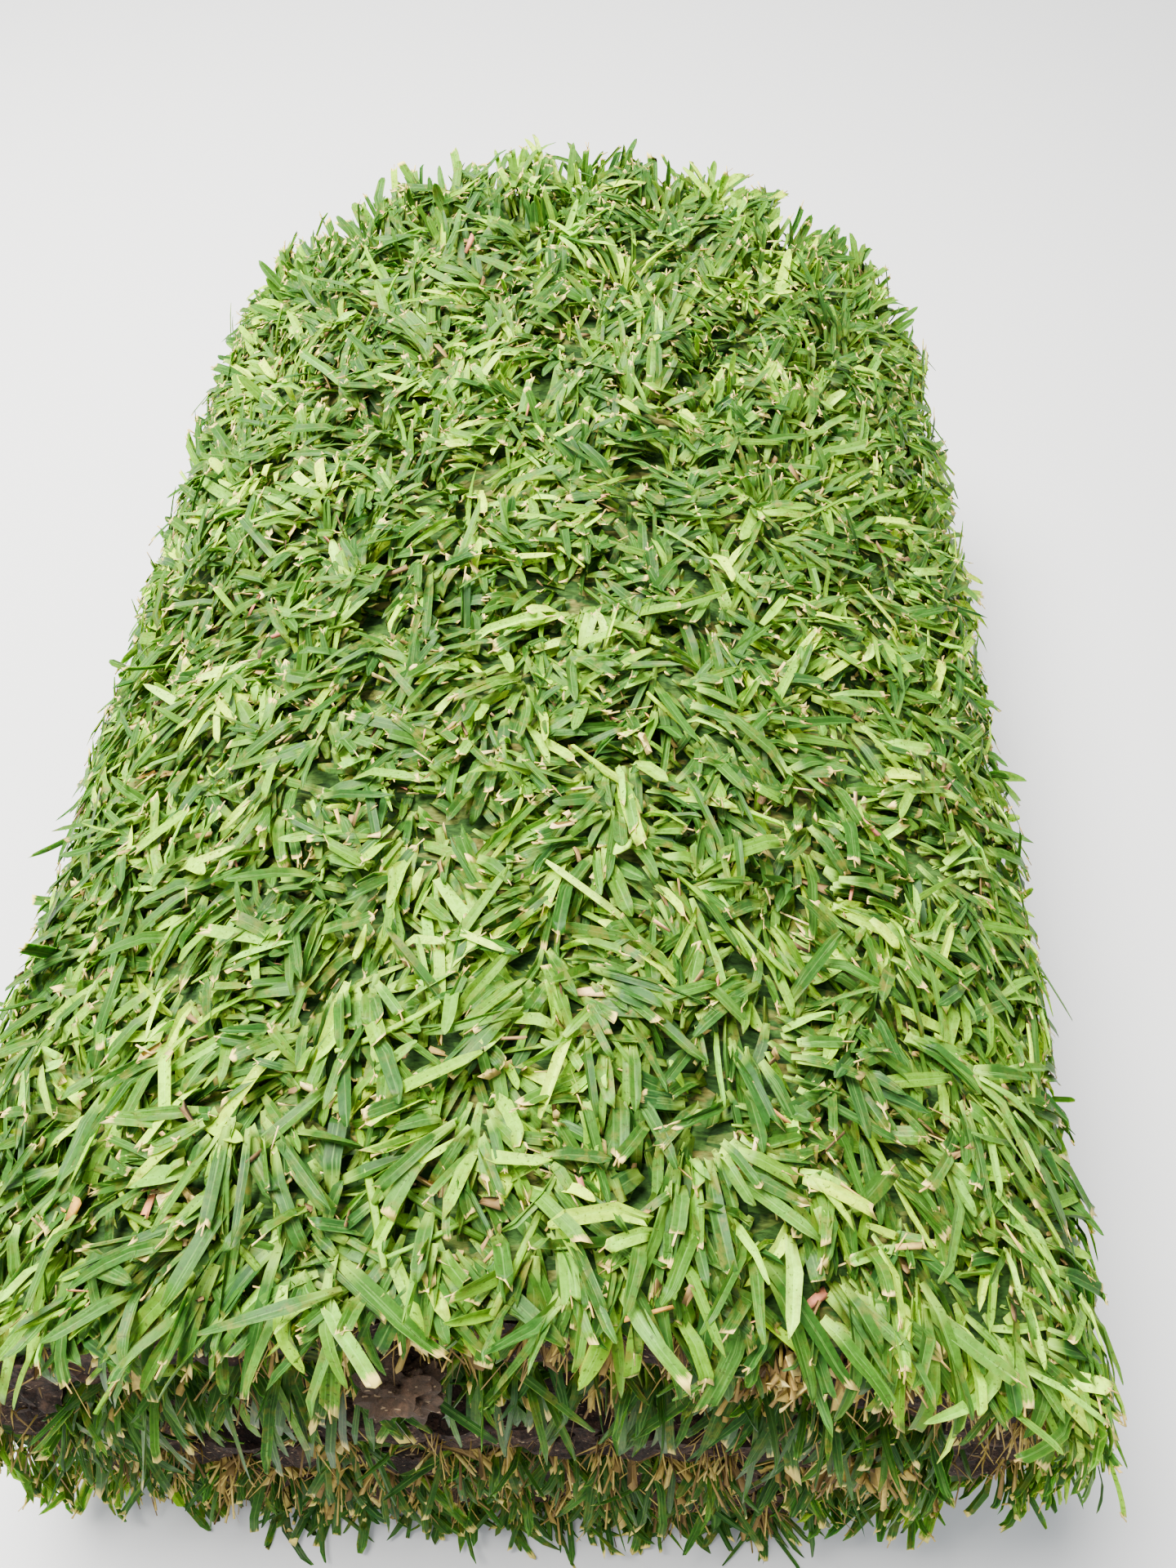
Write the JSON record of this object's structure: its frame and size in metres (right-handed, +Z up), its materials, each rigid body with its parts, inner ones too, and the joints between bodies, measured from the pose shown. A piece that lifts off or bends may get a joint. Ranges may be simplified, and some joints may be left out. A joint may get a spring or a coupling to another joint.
{
  "type": "roll of turf",
  "caption": "Strip of lawn with its soil, wound grass side out into a slumped oval roll that lies flat, ready to be unrolled and laid.",
  "frame": {"origin": "middle of the roll's footprint, on the ground", "axes": "+Z up, +Y along the roll, which is the width the strip was cut to, +X across the roll"},
  "size_m": [0.4446, 0.664, 0.265],
  "materials": {
    "soil": "moist crumbly loam bound by roots",
    "grass": "broad soft-leaf blades, mown",
    "thatch": "dry straw-coloured sheaths and runners",
    "roots": "fine pale roots"
  },
  "bodies": {
    "root": {"soil_mat": "soil", "grass_pile": "grass"}
  },
  "joints": []
}
